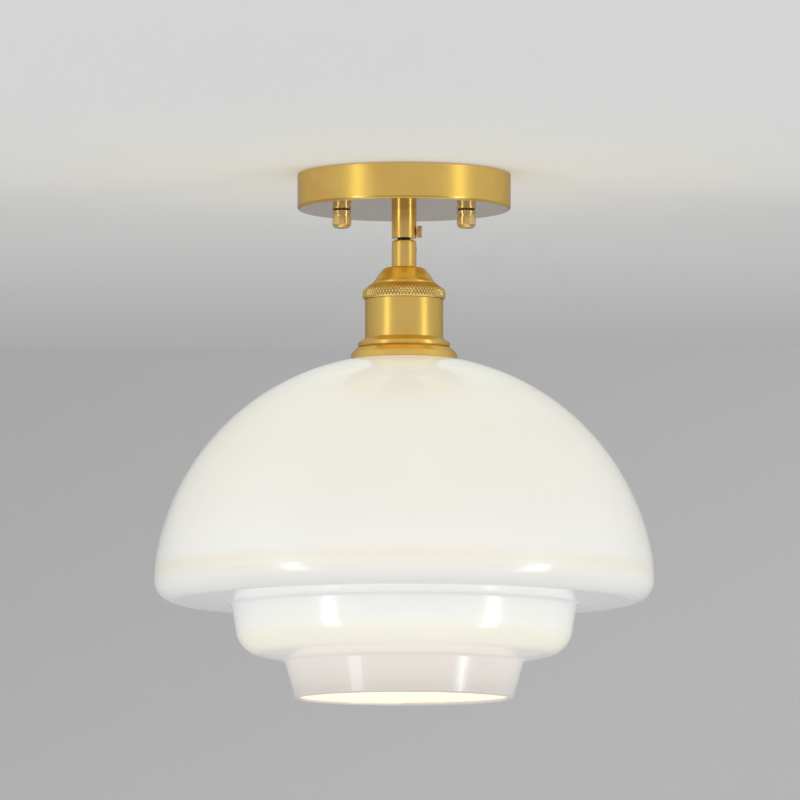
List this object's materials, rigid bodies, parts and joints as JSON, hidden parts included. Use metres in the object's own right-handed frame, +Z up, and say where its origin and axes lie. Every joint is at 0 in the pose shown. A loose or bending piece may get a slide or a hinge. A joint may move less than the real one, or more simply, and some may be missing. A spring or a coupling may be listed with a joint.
{
  "type": "pendant light",
  "caption": "Short pendant light: brass canopy with cap nuts, brass cord grips, knurled lampholder and a stepped opal glass shade over a screw-in globe bulb.",
  "frame": {"origin": "middle of the fixing strap's top face, in the ceiling plane, over the lamp's axis", "axes": "+Z up, out of the ceiling face; +X to the right along the fixing strap and through the cap nuts; -Y towards the viewer, with the terminal block on the +Y side"},
  "size_m": [0.2802, 0.2802, 0.2956],
  "materials": {
    "satin_brass": "brushed and lacquered",
    "polished_brass": "polished, knurled",
    "bare_brass": "bare, machined",
    "zinc_steel": "zinc plated",
    "tinned_copper": "tinned",
    "nickel": "nickel plated",
    "opal_glass": "glossy opal, one wall, milk white through its thickness",
    "bulb_diffuser": "frosted white",
    "white_plastic": "moulded",
    "white_board": "solder mask",
    "black_plastic": "glass-like insulator",
    "block_plastic": "moulded",
    "porcelain": "glazed",
    "black_cord": "smooth sheath",
    "dark_rubber": "matt",
    "pale_gasket": "matt silicone",
    "brown_insulation": "smooth",
    "blue_insulation": "smooth",
    "green_yellow_insulation": "striped green and yellow"
  },
  "bodies": {
    "ceiling_mount": {"ceiling_strap": "zinc_steel", "canopy_studs": "zinc_steel", "stud_lock_nuts": "zinc_steel", "terminal_block": "block_plastic", "terminal_tubes": "bare_brass", "terminal_screws": "zinc_steel", "terminal_fixing_screw": "zinc_steel", "earth_screw": "bare_brass", "earth_ring_tag": "tinned_copper", "core_live": "brown_insulation", "core_neutral": "blue_insulation", "core_earth": "green_yellow_insulation", "earth_link": "green_yellow_insulation", "canopy": "satin_brass", "canopy_washer": "zinc_steel", "canopy_nut": "zinc_steel", "upper_nipple": "zinc_steel", "upper_grip": "satin_brass", "cord_upper": "black_cord"},
    "left_washer": {"left_cap_washer": "dark_rubber"},
    "left_nut": {"left_cap_nut": "polished_brass"},
    "right_washer": {"right_cap_washer": "dark_rubber"},
    "right_nut": {"right_cap_nut": "polished_brass"},
    "upper_screw": {"upper_thumb_screw": "polished_brass"},
    "cord_bend": {"cord_neck": "black_cord"},
    "pendant": {"cord_lower": "black_cord", "lower_grip": "satin_brass", "lower_nipple": "zinc_steel", "earth_tag": "tinned_copper", "cap_lock_nut": "zinc_steel", "dome_cap": "satin_brass", "body_shell": "satin_brass", "threaded_sleeve": "satin_brass", "shade_carrier": "satin_brass", "upper_gasket": "pale_gasket", "porcelain_insert": "porcelain", "screw_shell": "bare_brass", "centre_contact": "bare_brass", "lamp_terminal_screws": "zinc_steel", "lead_live": "brown_insulation", "lead_neutral": "blue_insulation", "lead_earth": "green_yellow_insulation"},
    "lower_screw": {"lower_thumb_screw": "polished_brass"},
    "ring": {"union_ring": "satin_brass"},
    "shade": {"opal_shade": "opal_glass", "lower_gasket": "pale_gasket"},
    "glass_ring": {"shade_ring": "white_plastic"},
    "bulb_contact": {"bulb_tip": "bare_brass"},
    "bulb": {"bulb_insulator": "black_plastic", "bulb_cap": "nickel", "bulb_housing": "white_plastic", "bulb_board": "white_board", "bulb_globe": "bulb_diffuser"}
  },
  "joints": [
    {"name": "left_nut_drop", "type": "slide", "parent": "ceiling_mount", "child": "left_washer", "axis": [0, 0, 1], "range_m": [-0.005, 0]},
    {"name": "left_nut_turn", "type": "hinge", "parent": "left_washer", "child": "left_nut", "pos_m": [-0.035, 0, -0.025], "axis": [0, 0, 1], "range_deg": [-2520, 0]},
    {"name": "right_nut_drop", "type": "slide", "parent": "ceiling_mount", "child": "right_washer", "axis": [0, 0, 1], "range_m": [-0.005, 0]},
    {"name": "right_nut_turn", "type": "hinge", "parent": "right_washer", "child": "right_nut", "pos_m": [0.035, 0, -0.025], "axis": [0, 0, 1], "range_deg": [-2520, 0]},
    {"name": "upper_screw_turn", "type": "hinge", "parent": "ceiling_mount", "child": "upper_screw", "pos_m": [0, 0, -0.0326], "axis": [1, 0, 0], "range_deg": [0, 360]},
    {"name": "swing_sideways", "type": "hinge", "parent": "ceiling_mount", "child": "cord_bend", "pos_m": [0, 0, -0.0371], "axis": [0, 1, 0], "range_deg": [-5, 5]},
    {"name": "swing_forwards", "type": "hinge", "parent": "cord_bend", "child": "pendant", "pos_m": [0, 0, -0.0371], "axis": [1, 0, 0], "range_deg": [-5, 5]},
    {"name": "lower_screw_turn", "type": "hinge", "parent": "pendant", "child": "lower_screw", "pos_m": [0, 0, -0.0421], "axis": [0.4384, 0.8988, 0], "range_deg": [0, 360]},
    {"name": "ring_turn", "type": "hinge", "parent": "pendant", "child": "ring", "pos_m": [0, 0, -0.0667], "axis": [0, 0, 1], "range_deg": [-540, 0]},
    {"name": "shade_drop", "type": "slide", "parent": "pendant", "child": "shade", "axis": [0, 0, 1], "range_m": [-0.0101, 0]},
    {"name": "shade_ring_turn", "type": "hinge", "parent": "shade", "child": "glass_ring", "pos_m": [0, 0, -0.1138], "axis": [0, 0, 1], "range_deg": [-1455, 0]},
    {"name": "bulb_drop", "type": "slide", "parent": "pendant", "child": "bulb_contact", "axis": [0, 0, 1], "range_m": [-0.0182, 0]},
    {"name": "bulb_turn", "type": "hinge", "parent": "bulb_contact", "child": "bulb", "pos_m": [0, 0, -0.1], "axis": [0, 0, 1], "range_deg": [-1800, 0]}
  ],
  "couplings": [
    {"joint": "left_nut_drop", "follows": "left_nut_turn", "m_per_rad": 0.00011141},
    {"joint": "right_nut_drop", "follows": "right_nut_turn", "m_per_rad": 0.00011141},
    {"joint": "shade_ring_turn", "follows": "shade_drop", "rad_per_m": 2513.3},
    {"joint": "bulb_drop", "follows": "bulb_turn", "m_per_rad": 0.00057773}
  ]
}
